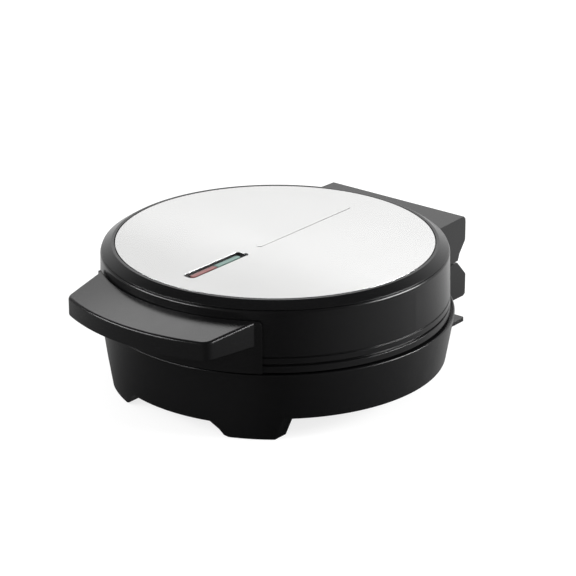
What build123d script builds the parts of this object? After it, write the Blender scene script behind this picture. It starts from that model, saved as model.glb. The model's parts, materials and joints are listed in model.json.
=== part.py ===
from build123d import *
import math
import os

# A round countertop wafer maker: two hot plates in a base and a hinged lid.
# It is drawn about the drum's axis, Z, with the table at height 0. The handle points to -Y and the
# hinge to +Y. At the end everything moves along Y, so that the origin lies under the middle of the
# whole outline. All sizes are in millimetres.

# Drum
disc_radius = 100.0
disc_thickness = 0.8
bezel_width = 9.0
bezel_bevel_drop = 4.7
bezel_bevel_bulge = 0.35
bezel_crest = 0.6
bezel_undercut = 0.3
bezel_height = 5.2
bezel_seat_width = 2.2
disc_edge_gap = 0.5
reveal_height = 0.2
reveal_depth = 2.6
lid_depth = 43.6
lid_step = 0.3
lid_draft = 1.0
base_height = 45.2
parting_gap = 1.7
lid_foot_gap = 0.9
base_step = 1.6
base_draft = 7.0
base_setback = 2.4
base_lean = -1.2
base_rim_round = 0.8
wall = 2.4

# Lines moulded round the lid
shoulder_round = 2.0
upper_line_rise = 9.6
upper_line_width = 1.3
upper_line_depth = 1.2
lower_line_rise = 4.6
lower_line_width = 1.3
lower_line_depth = 1.9
lower_line_lip = 0.4

# Feet and skirt
foot_height = 15.0
front_skirt_height = 10.0
foot_inner = 41.0
foot_outer = 65.3
foot_slope_run = 10.5
foot_flare = 5.2
foot_depth = 10.5
pad_proud = 0.5
pad_thickness = 2.2
pad_length = 17.0
pad_width = 5.6
pad_corner = 1.5

# Hinge
hinge_reach = 10.4
hinge_rise = 4.7
hinge_half_width = 53.5
hinge_taper = 1.5
hinge_corner = 2.0
hinge_cheek = 7.0
hinge_split = 1.5
upper_block_height = 29.6
upper_block_back = 9.6
lower_block_back = 10.9
lower_block_drop = 26.1
barrel_radius = 4.5
barrel_clearance = 0.4
barrel_gap = 0.4
centre_barrel_half = 13.0
upper_barrel_length = 19.2
outer_barrel_length = 14.0
pin_radius = 2.0
pin_clearance = 0.05
wire_tube_radius = 2.5
wire_tube_wall = 0.6
wire_hole_radius = 2.8
wire_hole_slack = 0.5
wire_drop_radius = 2.2
wire_drop_place = 18.4
wire_drop_depth = 10.0
pin_inset = 0.5

# Ledge that the mains lead is wound over
ledge_half_width = 52.0
ledge_back = 12.0
ledge_underside = 6.0
ledge_thickness = 2.5
ledge_corner = 2.0
neck_half_width = 35.0
neck_setback = 4.3
inlet_radius = 3.4
inlet_bush_radius = 5.0
inlet_flange_radius = 6.6
inlet_flange_thickness = 1.6
inlet_fit = 0.1
inlet_hole_length = 12.0

# Handle
handle_turn = -1.9
handle_length = 27.25
handle_half_front = 57.5
handle_half_root = 64.0
handle_side_length = 49.3
handle_corner = 8.0
handle_thickness = 11.8
handle_front_top = 75.5
handle_slope = 4.3
handle_edge_round = 1.8
handle_sole_round = 1.0
root_half_angle = 37.0
root_proud = 1.5
root_gap = 0.25
root_corner_round = 3.0
handle_wall = 2.4
handle_root_wall = 8.0
cover_lip_gap = 0.2
handle_screw_angle = 21.0
handle_screw_grip = 6.5
handle_hole_depth = 7.0
handle_head_gap = 0.25
root_top_chamfer = 1.0
handle_cover_thickness = 2.0

# Lamp window in the steel disc
slot_half_width = 4.3
slot_margin = 16.0
slot_length = 52.5
slot_corner = 3.0
slot_fit = 0.15
window_wall = 2.0
window_end_wall = 3.5
lens_recess = 0.4
lens_thickness = 2.0
lens_corner = 1.5
lens_split_gap = 0.4
board_half_width = 8.0
board_thickness = 1.6
frame_flange = 1.5
frame_flange_thickness = 1.2
frame_depth_below_lens = 1.0
lens_fit = 0.05
board_drop = 12.0
board_overhang = 11.0
post_radius = 3.0
post_hole_depth = 8.0
board_screw_grip = 7.0
lamp_radius = 2.6
lamp_length = 13.0

# Rib pressed up along the steel disc
rib_half_width = 2.65
rib_gap = 13.5
rib_margin = 24.0
rib_height = 0.4

# Hot plates
plate_gap = 0.5
plate_margin = 6.3
plate_flange_thickness = 2.8
plate_seat_width = 4.0
plate_fit = 0.4
plate_step = 7.0
plate_floor = 4.5
plate_skirt = 5.3
plate_skirt_wall = 3.0
plate_boss_radius = 4.5
plate_edge = 0.6
plate_hole_depth = 6.0
plate_screw_grip = 5.0
baking_margin = 6.0
baking_relief = 0.7
lattice_pitch = 9.0
lattice_width = 1.4
lattice_depth = 0.8
element_margin = 12.0
element_radius = 3.3
element_arc = 310.0
element_seat_gap = 0.2
terminal_length = 22.0
terminal_pin_length = 9.0
terminal_pin_radius = 1.4
spacer_wall = 1.4
reflector_margin = 7.0
reflector_rim_inset = 1.0
reflector_sheet = 0.6
reflector_gap = 0.3
reflector_flare = 10.0
plate_screw_margin = 20.0
plate_screw_count = 3
screw_radius = 1.6
screw_head_radius = 3.2
screw_head_height = 2.2
driver_reach = 2.2
driver_half_width = 0.4
driver_depth = 0.8
screw_fit = 0.15
thermostat_radius = 9.0
thermostat_height = 11.0
thermostat_fit = 0.3
tab_length = 7.0
tab_half_width = 3.0
tab_thickness = 0.8
fuse_radius = 2.4
fuse_length = 18.0
fuse_lead = 1.5
fuse_lead_radius = 0.8

# Bottom cover and what stands on it
cover_thickness = 2.0
cover_fit = 0.3
boss_inset = 13.9
boss_angle = 28.0
boss_radius = 4.5
boss_height = 12.0
boss_rib = 2.0
boss_end = 2.0
cover_screw_gap = 1.0
pad_fit = 0.1
vent_count = 5
vent_length = 34.0
vent_width = 3.0
vent_pitch = 9.0
block_length = 34.0
block_depth = 14.0
block_height = 10.0
block_margin = 32.0
terminal_pitch = 10.6
terminal_well_radius = 2.6
terminal_well_floor = 6.0
terminal_wire_height = 3.6
terminal_wire_radius = 1.7
terminal_screw_radius = 2.2
terminal_screw_length = 4.0

# Heights and radii that follow from the sizes above
bezel_radius = disc_radius + bezel_width
lid_bottom = base_height + parting_gap
lid_top = lid_bottom + lid_depth
disc_seat = lid_top - disc_thickness
bezel_bottom = lid_top - bezel_height
shoulder_height = bezel_bottom - reveal_height
shoulder_radius = bezel_radius + lid_step
lid_foot_radius = shoulder_radius + lid_draft
rim_radius = lid_foot_radius + base_step
plate_flange_radius = lid_foot_radius - plate_margin
plate_body_radius = plate_flange_radius - plate_step
baking_radius = plate_body_radius - baking_margin
reflector_radius = plate_body_radius - reflector_margin
reflector_floor_radius = reflector_radius - reflector_flare
element_circle = reflector_floor_radius - element_margin
plate_screw_circle = element_circle - plate_screw_margin
boss_circle = rim_radius - boss_inset
block_place = boss_circle - block_margin
deck_underside = disc_seat - wall
bezel_inner_radius = disc_radius - bezel_seat_width
parting_height = (base_height + lid_bottom) / 2
lower_plate_face = parting_height - plate_gap / 2
upper_plate_face = parting_height + plate_gap / 2
lower_plate_back = lower_plate_face - plate_floor
upper_plate_back = upper_plate_face + plate_floor
lower_seat = lower_plate_face - plate_flange_thickness
upper_seat = upper_plate_face + plate_flange_thickness
plate_opening = plate_flange_radius - plate_seat_width
hinge_y = rim_radius + hinge_reach
foot_setback = base_setback + base_lean
hinge_z = lid_bottom + hinge_rise
neck_back = hinge_y - neck_setback
lower_block_bottom = hinge_z - lower_block_drop
ledge_top = ledge_underside + ledge_thickness
upper_block_top = hinge_z + upper_block_height
cover_top = foot_height + cover_thickness
handle_underside = handle_front_top - handle_thickness
root_inner_radius = lid_foot_radius + root_gap
root_outer_radius = root_inner_radius + root_proud
handle_reach = root_outer_radius + handle_length
root_side = handle_reach - handle_side_length
slot_front = slot_margin - disc_radius
slot_back = slot_front + slot_length
rib_front = slot_back + rib_gap
rib_back = disc_radius - rib_margin
slot_middle = (slot_front + slot_back) / 2
board_top = deck_underside - board_drop
lens_top = lid_top - lens_recess
reflector_drop = element_seat_gap + 2 * element_radius + reflector_gap + reflector_sheet
footprint_shift = (handle_reach - hinge_y - max(ledge_back, lower_block_back)) / 2

FROM_BELOW = (Align.CENTER, Align.CENTER, Align.MIN)
SIDES = (-1, 1)


def turned(points):
    """A body of revolution about the drum's axis, from (radius, height) points."""
    return turned_outline(Polyline(*points, close=True))


def turned_outline(outline):
    """A body of revolution about the drum's axis, from a closed (radius, height) outline."""
    return revolve(Plane.XZ * make_face(outline), Axis.Z)


def across(points, half_width):
    """A block with a (y, z) side outline, centred on the plane x = 0."""
    return extrude(Plane.YZ * make_face(Polyline(*points, close=True)), half_width, both=True)


def upright(radius, low, high, x=0.0, y=0.0):
    """A vertical round bar between two heights."""
    return Pos(x, y, low) * Cylinder(radius, high - low, align=FROM_BELOW)


def along_hinge(radius, start, end):
    """A round bar on the hinge axis between two places along X."""
    middle = Pos((start + end) / 2, hinge_y, hinge_z)
    return middle * Rot(0, 90, 0) * Cylinder(radius, end - start)


def block(low, high):
    """A rectangular block from its lowest corner to its highest."""
    size = [top - bottom for bottom, top in zip(low, high)]
    middle = [(top + bottom) / 2 for bottom, top in zip(low, high)]
    return Pos(*middle) * Box(*size)


def base_drum(inset, low, high):
    """The base's leaning cone, shrunk by inset, between two heights."""
    sections = []
    for height in (low, high):
        share = 1 - height / base_height
        radius = rim_radius - base_draft * share - inset
        middle = base_setback + base_lean * share
        sections.append(Pos(0, middle, height) * Circle(radius))
    return loft(sections, ruled=True)


def slot_shape(inset, low, high):
    """The lamp window's rounded outline as a solid, shrunk by inset."""
    outline = RectangleRounded(
        2 * (slot_half_width - inset), slot_length - 2 * inset, slot_corner - inset)
    return extrude(Pos(0, slot_middle, low) * outline, high - low)


def lens_shape(inset, low, high):
    """The opening that the window's frame leaves for the lenses, shrunk by inset."""
    width = 2 * (slot_half_width - slot_fit - window_wall - inset)
    length = slot_length - 2 * (slot_fit + window_end_wall + inset)
    outline = RectangleRounded(width, length, lens_corner - inset)
    return extrude(Pos(0, slot_middle, low) * outline, high - low)


def lid_wall_radius(height):
    """Outer radius of the lid's wall, which flares a little towards its foot."""
    share = (shoulder_height - height) / (shoulder_height - lid_bottom)
    return shoulder_radius + lid_draft * share


def lower_line_outline():
    """The lower line in the lid's wall, with its sloped lips, as (radius, height) points."""
    middle = lid_bottom + lower_line_rise
    low, high = middle - lower_line_width / 2, middle + lower_line_width / 2
    floor = lid_wall_radius(middle) - lower_line_depth
    lip = lower_line_lip
    return [
        (lid_wall_radius(low - lip), low - lip), (lid_wall_radius(low) - lip, low), (floor, low),
        (floor, high), (lid_wall_radius(high) - lip, high), (lid_wall_radius(high + lip), high + lip)]


def upper_line():
    """A ring that cuts the upper line into the lid's wall; it is deepest in front and fades out behind."""
    middle = lid_bottom + upper_line_rise
    low, high = middle - upper_line_width / 2, middle + upper_line_width / 2
    radius = lid_wall_radius(middle) - upper_line_depth / 2
    return upright(rim_radius, low, high) - upright(radius, low, high, y=upper_line_depth / 2)


def plan_outline(half_front, half_back, front, back, corner, low, high):
    """An upright block, tapered in plan, with rounded corners at its rear."""
    outline = make_face(Polyline(
        (-half_front, front), (half_front, front), (half_back, back), (-half_back, back),
        close=True))
    rear_corners = outline.vertices().group_by(Axis.Y)[-1]
    return extrude(Pos(0, 0, low) * fillet(rear_corners, corner), high - low)


def upper_block_outline():
    """Side outline of the lid's hinge block, with the V of the hinge at its foot."""
    back = hinge_y + upper_block_back
    floor = hinge_z + hinge_split / 2
    return [
        (plate_opening, floor),
        (hinge_y, floor),
        (hinge_y + 0.2, hinge_z + 1.5),
        (hinge_y + 1.7, hinge_z + 5.3),
        (back - 1.9, hinge_z + 12.4),
        (back, hinge_z + upper_block_height / 2),
        (back - 0.5, upper_block_top - 7.5),
        (back - 1.7, upper_block_top - 1.8),
        (back - 3.5, upper_block_top),
        (plate_opening, upper_block_top),
    ]


def lower_block_outline():
    """Side outline of the base's hinge block."""
    back = hinge_y + lower_block_back
    roof = hinge_z - hinge_split / 2
    return [
        (plate_opening, roof),
        (hinge_y, roof),
        (hinge_y + 2.0, hinge_z - 2.9),
        (back - 0.5, hinge_z - 12.0),
        (back, hinge_z - 13.5),
        (back - 0.3, hinge_z - 17.0),
        (back - 1.3, lower_block_bottom + 1.4),
        (back - 3.5, lower_block_bottom),
        (plate_opening, lower_block_bottom),
    ]


def upper_barrels(radius, slack=0.0):
    """The lid's two hinge barrels, one each side of the centre barrel."""
    start = centre_barrel_half + barrel_gap - slack
    end = centre_barrel_half + barrel_gap + upper_barrel_length + slack
    return along_hinge(radius, start, end) + along_hinge(radius, -end, -start)


def lower_barrels(radius, slack=0.0):
    """The base's three hinge barrels."""
    start = centre_barrel_half + upper_barrel_length + 2 * barrel_gap - slack
    end = start + outer_barrel_length + 2 * slack
    centre = centre_barrel_half + slack
    bars = along_hinge(radius, -centre, centre)
    return bars + along_hinge(radius, start, end) + along_hinge(radius, -end, -start)


def pin_length():
    """How far the pins' outer ends lie from the middle of the hinge."""
    outer_end = centre_barrel_half + upper_barrel_length + 2 * barrel_gap + outer_barrel_length
    return outer_end - 1.0


def pin_start():
    """Where the pins begin, past the end of the wire tube."""
    return centre_barrel_half + upper_barrel_length / 2


def hinge_bars(radius):
    """Two bars along the hinge axis, as long as the pins."""
    right = along_hinge(radius, pin_start(), pin_length())
    left = along_hinge(radius, -pin_length(), -pin_start())
    return right + left


def wire_tube_end():
    """Half the length of the tube that carries the wires along the hinge axis."""
    return pin_start() - 1.0


def wire_hole_end():
    """Half the length of the hole that the wire tube lies in."""
    return wire_tube_end() + wire_hole_slack


def lid_shell():
    inner_foot = lid_foot_radius - wall
    inner_shoulder = shoulder_radius - wall
    seat_top = upper_seat + wall
    outline = Polyline(
        (shoulder_radius - shoulder_round, shoulder_height),
        (shoulder_radius - reveal_depth, shoulder_height),
        (shoulder_radius - reveal_depth, bezel_bottom),
        (bezel_inner_radius - cover_fit, bezel_bottom),
        (bezel_inner_radius - cover_fit, disc_seat),
        (0, disc_seat),
        (0, deck_underside),
        (bezel_inner_radius - wall, deck_underside),
        (bezel_inner_radius - wall, shoulder_height - wall),
        (inner_shoulder, shoulder_height - wall),
        (inner_foot, seat_top),
        (plate_opening, seat_top),
        (plate_opening, upper_seat),
        (plate_flange_radius + plate_fit, upper_seat),
        (plate_flange_radius + plate_fit, lid_bottom),
        (lid_foot_radius, lid_bottom),
        *lower_line_outline(),
        (shoulder_radius, shoulder_height - shoulder_round))
    outline += RadiusArc(
        (shoulder_radius, shoulder_height - shoulder_round),
        (shoulder_radius - shoulder_round, shoulder_height), -shoulder_round)
    shell = turned_outline(outline)
    hinge_block = across(upper_block_outline(), hinge_half_width + hinge_taper)
    hinge_block &= plan_outline(
        hinge_half_width + hinge_taper, hinge_half_width, plate_opening,
        hinge_y + upper_block_back, hinge_corner, hinge_z, upper_block_top)
    hinge_block -= upright(lid_wall_radius(hinge_z) - wall / 2, 0, lid_top)
    shell -= upper_line()
    hollow = across([
        (plate_opening, hinge_z + 7.5),
        (hinge_y - 6.5, hinge_z + 7.5),
        (hinge_y + upper_block_back - wall, hinge_z + 18.0),
        (hinge_y + upper_block_back - wall, upper_block_top - 9.0),
        (hinge_y + upper_block_back - 6.0, upper_block_top - wall),
        (plate_opening, upper_block_top - wall),
    ], hinge_half_width - hinge_cheek)
    shell += hinge_block
    shell += upper_barrels(barrel_radius)
    shell -= hollow
    shell -= lower_barrels(barrel_radius + barrel_clearance, barrel_gap)
    shell -= hinge_bars(pin_radius + pin_clearance)
    shell -= along_hinge(wire_hole_radius, -wire_hole_end(), wire_hole_end())
    for side in SIDES:
        shell -= upright(
            wire_drop_radius, hinge_z, hinge_z + wire_drop_depth, side * wire_drop_place, hinge_y)
        shell += upright(post_radius, board_top, deck_underside, 0, post_place(side))
        shell -= upright(screw_radius, board_top, board_top + post_hole_depth, 0, post_place(side))
    shell -= slot_shape(-slot_fit, deck_underside - 1, lid_top)
    for angle in (-handle_screw_angle, 0, handle_screw_angle):
        shell -= seated(handle_screw_bar(screw_radius + screw_fit, 90, root_outer_radius, angle))
    return shell


def seated(shape):
    """Turns a piece round the drum to the place where the handle sits, a little off the middle."""
    return Rot(0, 0, handle_turn) * shape


def post_place(side):
    """Place along Y of the two posts that hold the lamp board."""
    return slot_middle + side * (slot_length / 2 + board_overhang / 2)


def handle_screw_bar(radius, start, end, angle):
    """A round bar pointing out from the drum's axis at the handle, between two radii."""
    height = (handle_underside + handle_front_top) / 2
    bar = Pos(0, -(start + end) / 2, height) * Rot(90, 0, 0) * Cylinder(radius, end - start)
    return Rot(0, 0, angle) * bar


def steel_disc():
    disc = upright(disc_radius, disc_seat, lid_top)
    disc -= slot_shape(0.0, disc_seat - 1, lid_top + 1)
    disc += block((-rib_half_width, rib_front, disc_seat), (rib_half_width, rib_back, lid_top + rib_height))
    inner = rib_half_width - disc_thickness
    return disc - block(
        (-inner, rib_front + disc_thickness, disc_seat - 1),
        (inner, rib_back - disc_thickness, disc_seat + rib_height))


def lid_bezel():
    hook = disc_radius + disc_edge_gap
    crown = hook + bezel_crest
    bevel_low = lid_top - bezel_bevel_drop
    slope = math.hypot(bezel_radius - crown, bezel_bevel_drop)
    middle_radius = (crown + bezel_radius) / 2 + bezel_bevel_bulge * bezel_bevel_drop / slope
    middle_height = (lid_top + bevel_low) / 2 + bezel_bevel_bulge * (bezel_radius - crown) / slope
    outline = Polyline(
        (crown, lid_top), (hook, lid_top), (hook, disc_seat), (bezel_inner_radius, disc_seat),
        (bezel_inner_radius, bezel_bottom), (bezel_radius - bezel_undercut, bezel_bottom),
        (bezel_radius, bevel_low))
    outline += ThreePointArc(
        (bezel_radius, bevel_low), (middle_radius, middle_height), (crown, lid_top))
    return turned_outline(outline)


def window_frame():
    low = lens_top - lens_thickness - frame_depth_below_lens
    frame = slot_shape(slot_fit, low, lid_top - slot_fit)
    frame += slot_shape(-frame_flange, deck_underside - frame_flange_thickness, deck_underside)
    return frame - lens_shape(0.0, low - 3, lid_top)


def lens(side):
    """One half of the lamp window: side -1 is the front half."""
    body = lens_shape(lens_fit, lens_top - lens_thickness, lens_top)
    cut = slot_middle + side * lens_split_gap / 2
    start, end = (slot_front - 1, cut) if side < 0 else (cut, slot_back + 1)
    keep = block((-slot_half_width, start, 0), (slot_half_width, end, lid_top))
    return body & keep


def lamp_board():
    length = slot_length / 2 + board_overhang
    board = block(
        (-board_half_width, slot_middle - length, board_top - board_thickness),
        (board_half_width, slot_middle + length, board_top))
    for side in SIDES:
        board -= upright(screw_radius + screw_fit, 0, lid_top, 0, post_place(side))
    return board


def lamp(side):
    """A small glass lamp lying under one half of the window."""
    middle = Pos(0, slot_middle + side * slot_length / 4, board_top + lamp_radius)
    return middle * Rot(90, 0, 0) * Cylinder(lamp_radius, lamp_length)


def screw(head_below, length):
    """A screw pointing up from its head's seat at height 0, or down if head_below is False."""
    shank = upright(screw_radius, 0, length)
    head = upright(screw_head_radius, -screw_head_height, 0)
    driver = block(
        (-driver_reach, -driver_half_width, -screw_head_height),
        (driver_reach, driver_half_width, driver_depth - screw_head_height))
    cross = Rot(0, 0, 90) * driver
    body = shank + head - driver - cross
    return body if head_below else Rot(180, 0, 0) * body


def lamp_board_screws():
    seat = board_top - board_thickness
    length = board_thickness + board_screw_grip
    return [Pos(0, post_place(side), seat) * screw(True, length) for side in SIDES]


def hot_plate(face, back, seat, up):
    """A cast plate; up is 1 for the base's plate, whose face looks up, and -1 for the lid's."""
    skirt_back = back - up * plate_skirt
    skirt_inner = plate_body_radius - plate_skirt_wall
    plate = turned([
        (0, back), (skirt_inner, back), (skirt_inner, skirt_back),
        (plate_body_radius, skirt_back), (plate_body_radius, seat),
        (plate_flange_radius, seat), (plate_flange_radius, face - up * plate_edge),
        (plate_flange_radius - plate_edge, face), (0, face),
    ])
    boss_low, boss_high = sorted((back, skirt_back))
    plate += [upright(plate_boss_radius, boss_low, boss_high, *place) for place in screw_places()]
    relief = upright(baking_radius, -baking_relief, 1)
    reach = baking_radius - 1.5
    lines = int(reach / lattice_pitch)
    grid = []
    for step in range(-lines, lines + 1):
        place = step * lattice_pitch
        half = math.sqrt(reach ** 2 - place ** 2)
        depth = baking_relief + lattice_depth
        low = (place - lattice_width / 2, -half, -depth)
        high = (place + lattice_width / 2, half, 0)
        bar = block(low, high)
        grid += [bar, Rot(0, 0, 90) * bar]
    turn = Rot(0, 0, 45) if up > 0 else Rot(180, 0, 0) * Rot(0, 0, 45)
    plate -= Pos(0, 0, face) * (turn * relief)
    plate -= [Pos(0, 0, face) * (turn * bar) for bar in grid]
    hole_low, hole_high = sorted((skirt_back, skirt_back + up * plate_hole_depth))
    plate -= [upright(screw_radius, hole_low, hole_high, *place) for place in screw_places()]
    return plate


def screw_places():
    """Where the plate screws stand."""
    places = []
    for step in range(plate_screw_count):
        angle = math.radians(90 + 360 * step / plate_screw_count)
        places.append((plate_screw_circle * math.cos(angle), plate_screw_circle * math.sin(angle)))
    return places


def heating_element(back, up):
    """A tubular ring element behind a plate, with its two ends turned in to the terminals."""
    height = back - up * (element_seat_gap + element_radius)
    section = Plane.XZ * (Pos(element_circle, height) * Circle(element_radius))
    ring = revolve(section, Axis.Z, element_arc)
    ring = Rot(0, 0, 90 + (360 - element_arc) / 2) * ring
    parts = [ring]
    for side in SIDES:
        angle = math.radians(90 + side * (360 - element_arc) / 2)
        start = Pos(element_circle * math.cos(angle), element_circle * math.sin(angle), height)
        inward = Rot(90, 0, 0) * Cylinder(element_radius, terminal_length, align=FROM_BELOW)
        tip = Rot(90, 0, 0) * Cylinder(
            terminal_pin_radius, terminal_length + terminal_pin_length, align=FROM_BELOW)
        parts += [start * Sphere(element_radius), start * inward, start * tip]
    body = parts[0]
    for piece in parts[1:]:
        body += piece
    return body


def reflector(back, up):
    """A bright sheet dish behind the element, closed against the plate's skirt."""
    floor = back - up * reflector_drop
    seat = back - up * plate_skirt
    sheet = up * reflector_sheet
    rim = plate_body_radius - reflector_rim_inset
    dish = turned([
        (0, floor), (reflector_floor_radius, floor), (reflector_radius, seat - sheet),
        (rim, seat - sheet), (rim, seat), (reflector_radius - reflector_sheet, seat),
        (reflector_floor_radius - reflector_sheet, floor + sheet), (0, floor + sheet),
    ])
    dish -= upright(thermostat_radius + thermostat_fit, 0, lid_top)
    for place in screw_places():
        dish -= upright(screw_radius + screw_fit, 0, lid_top, *place)
    return dish


def plate_screws(back, up):
    """Screws that hold the reflector to the plate, with spacer sleeves round their shanks."""
    floor = back - up * reflector_drop
    length = reflector_drop - plate_skirt + plate_screw_grip
    return [Pos(*place, floor) * screw(up > 0, length) for place in screw_places()]


def spacers(back, up):
    """Short tubes between the reflector and the plate round each screw."""
    floor = back - up * (reflector_drop - reflector_sheet)
    low, high = sorted((floor, back - up * plate_skirt))
    tubes = []
    for place in screw_places():
        bore = upright(screw_radius + screw_fit, low - 1, high + 1, *place)
        tubes.append(upright(screw_radius + spacer_wall, low, high, *place) - bore)
    return tubes


def thermostat():
    """A disc thermostat pressed to the base plate's back through the reflector."""
    body = upright(thermostat_radius, lower_plate_back - thermostat_height, lower_plate_back)
    tab_top = lower_plate_back - reflector_drop - thermostat_fit
    for side in SIDES:
        start, end = sorted((side * (thermostat_radius - 1), side * (thermostat_radius + tab_length)))
        body += block(
            (start, -tab_half_width, tab_top - tab_thickness), (end, tab_half_width, tab_top))
    return body


def thermal_fuse():
    """A cylinder fuse in its clip, held to the back of the lid's plate."""
    middle = upper_plate_back + fuse_radius
    place = Pos(0, 0, middle) * Rot(0, 90, 0)
    leads = place * Cylinder(fuse_lead_radius, fuse_length)
    return place * Cylinder(fuse_radius, fuse_length - 2 * fuse_lead) + leads


def base_shell():
    shell = base_drum(0.0, foot_height, base_height)
    shell = fillet(shell.edges().group_by(Axis.Z)[-1], base_rim_round)
    shell -= base_drum(wall, foot_height, lower_seat - wall)
    shell -= upright(plate_opening, 0, lid_top)
    shell -= upright(plate_flange_radius + plate_fit, lower_seat, lid_top)
    for angle in boss_angles():
        arm = upright(boss_radius, cover_top, cover_top + boss_height, boss_circle, 0)
        arm += block(
            (boss_circle, -boss_rib / 2, cover_top),
            (rim_radius, boss_rib / 2, cover_top + boss_height))
        arm = Rot(0, 0, angle) * arm
        shell += arm & base_drum(wall / 2, foot_height, base_height - wall)
    for place in boss_places():
        shell -= upright(screw_radius, cover_top - 1, cover_top + boss_height - boss_end, *place)
    shell += feet_and_skirt()
    shell += lower_hinge_block()
    shell -= rear_hollow()
    shell += lower_barrels(barrel_radius)
    shell -= upper_barrels(barrel_radius + barrel_clearance, barrel_gap)
    shell -= hinge_bars(pin_radius + pin_clearance)
    shell -= along_hinge(wire_hole_radius, -wire_hole_end(), wire_hole_end())
    shell -= upright(wire_drop_radius, hinge_z - wire_drop_depth, hinge_z, 0, hinge_y)
    inlet = Rot(90, 0, 0) * Cylinder(inlet_bush_radius + inlet_fit, inlet_hole_length)
    shell -= Pos(0, neck_back, inlet_height()) * inlet
    for x in SIDES:
        for y in SIDES:
            shell -= foot_pad(x, y, pad_fit)
    return shell


def boss_angles():
    """Directions of the four screw bosses, clear of the feet."""
    return (boss_angle, 180 - boss_angle, 180 + boss_angle, 360 - boss_angle)


def boss_places():
    """Where the bottom cover's screws stand."""
    turns = [math.radians(angle) for angle in boss_angles()]
    return [(boss_circle * math.cos(turn), boss_circle * math.sin(turn)) for turn in turns]


def feet_and_skirt():
    """Four feet cut from the base's cone, with a low skirt between each pair."""
    outline = [
        (foot_inner - foot_slope_run, foot_height),
        (foot_inner - foot_slope_run, front_skirt_height),
        (foot_inner - 0.5 * foot_slope_run, 0.54 * front_skirt_height),
        (foot_inner - 0.25 * foot_slope_run, 0.16 * front_skirt_height),
        (foot_inner, pad_proud),
        (foot_outer, pad_proud),
        (foot_outer + foot_flare, foot_height),
    ]
    whole = base_drum(0.0, 0.0, foot_height)
    skirt = whole - base_drum(wall, 0.0, foot_height)
    skirt &= block(
        (-foot_inner, -rim_radius, front_skirt_height), (foot_inner, rim_radius, foot_height))
    limbs = skirt
    for side in SIDES:
        profile = make_face(Polyline(*[(side * x, z) for x, z in outline], close=True))
        for end in SIDES:
            limb = extrude(Plane.XZ * profile, -end * rim_radius)
            limb &= whole
            limb -= Pos(0, -end * foot_depth, 0) * whole
            limbs += limb
    return limbs


def pad_frame(x, y):
    """Place and turn of the pad under one foot; x and y are -1 or 1 for its corner."""
    across_x = (foot_inner + foot_outer) / 2
    radius = rim_radius - base_draft
    reach = math.sqrt(radius ** 2 - across_x ** 2) + y * foot_setback - foot_depth / 2
    turn = math.degrees(math.asin(across_x / radius))
    return Pos(x * across_x, y * reach, 0) * Rot(0, 0, -x * y * turn)


def foot_pad(x, y, grow):
    """A rubber pad let into a foot; grow enlarges it to cut its pocket."""
    outline = RectangleRounded(pad_length + 2 * grow, pad_width + 2 * grow, pad_corner)
    return extrude(pad_frame(x, y) * outline, pad_thickness + grow / 2)


def inlet_height():
    """Height of the cord inlet, in the middle of the neck."""
    return (ledge_top + lower_block_bottom) / 2


def lower_hinge_block():
    """The block under the hinge, the neck below it and the ledge for the wound lead."""
    body = across(lower_block_outline(), hinge_half_width)
    body &= plan_outline(
        hinge_half_width, hinge_half_width, plate_opening, hinge_y + lower_block_back,
        hinge_corner, lower_block_bottom, hinge_z)
    body += block(
        (-neck_half_width, plate_opening, ledge_underside),
        (neck_half_width, neck_back, lower_block_bottom + 1))
    body += plan_outline(
        ledge_half_width, ledge_half_width, plate_body_radius - foot_depth,
        hinge_y + ledge_back, ledge_corner, ledge_underside, ledge_top)
    body -= base_drum(wall / 2, foot_height, base_height - wall)
    body -= upright(lid_foot_radius + lid_foot_gap, base_height - wall, lid_top)
    return body


def rear_hollow():
    """Room for the wires inside the lower block and its neck, open to the base."""
    room = across([
        (plate_opening, lower_block_bottom + wall),
        (hinge_y + lower_block_back - 3.2 - wall, lower_block_bottom + wall),
        (hinge_y + lower_block_back - wall, hinge_z - 18.0),
        (hinge_y + lower_block_back - wall, hinge_z - 14.0),
        (hinge_y + 2.0, hinge_z - 7.5),
        (hinge_y - 7.5, hinge_z - 7.5),
        (hinge_y - 7.5, lower_seat - wall),
        (plate_opening, lower_seat - wall),
    ], hinge_half_width - hinge_cheek)
    neck = block(
        (wall - neck_half_width, plate_opening - wall, foot_height),
        (neck_half_width - wall, neck_back - wall, lower_block_bottom + wall + 1))
    return room + neck


def inlet_bush():
    """The bush in the neck's rear wall where the mains lead comes out."""
    length = wall + 2.0
    body = Cylinder(inlet_bush_radius, length, align=FROM_BELOW)
    body += Pos(0, 0, length) * Cylinder(
        inlet_flange_radius, inlet_flange_thickness, align=FROM_BELOW)
    body -= Cylinder(inlet_radius, 4 * length)
    return Pos(0, neck_back - length, inlet_height()) * Rot(-90, 0, 0) * body


def bottom_cover():
    cover = base_drum(wall + cover_fit, foot_height, cover_top)
    for place in boss_places():
        cover -= upright(screw_radius + screw_fit, 0, lid_top, *place)
    for step in range(vent_count):
        y = (step - (vent_count - 1) / 2) * vent_pitch
        for side in SIDES:
            slot = SlotOverall(vent_length, vent_width)
            cover -= extrude(Pos(side * vent_length, y, 0) * slot, cover_top + 1)
    return cover


def cover_screws():
    length = boss_height - cover_screw_gap
    return [Pos(*place, foot_height) * screw(True, length) for place in boss_places()]


def terminal_block():
    body = block(
        (-block_length / 2, block_place - block_depth / 2, cover_top),
        (block_length / 2, block_place + block_depth / 2, cover_top + block_height))
    for step in (-1, 0, 1):
        x = step * terminal_pitch
        well_floor = cover_top + terminal_well_floor
        body -= upright(
            terminal_well_radius, well_floor, cover_top + 2 * block_height, x, block_place)
        way = Rot(90, 0, 0) * Cylinder(terminal_wire_radius, 2 * block_length)
        body -= Pos(x, block_place, cover_top + terminal_wire_height) * way
    return body


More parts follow.
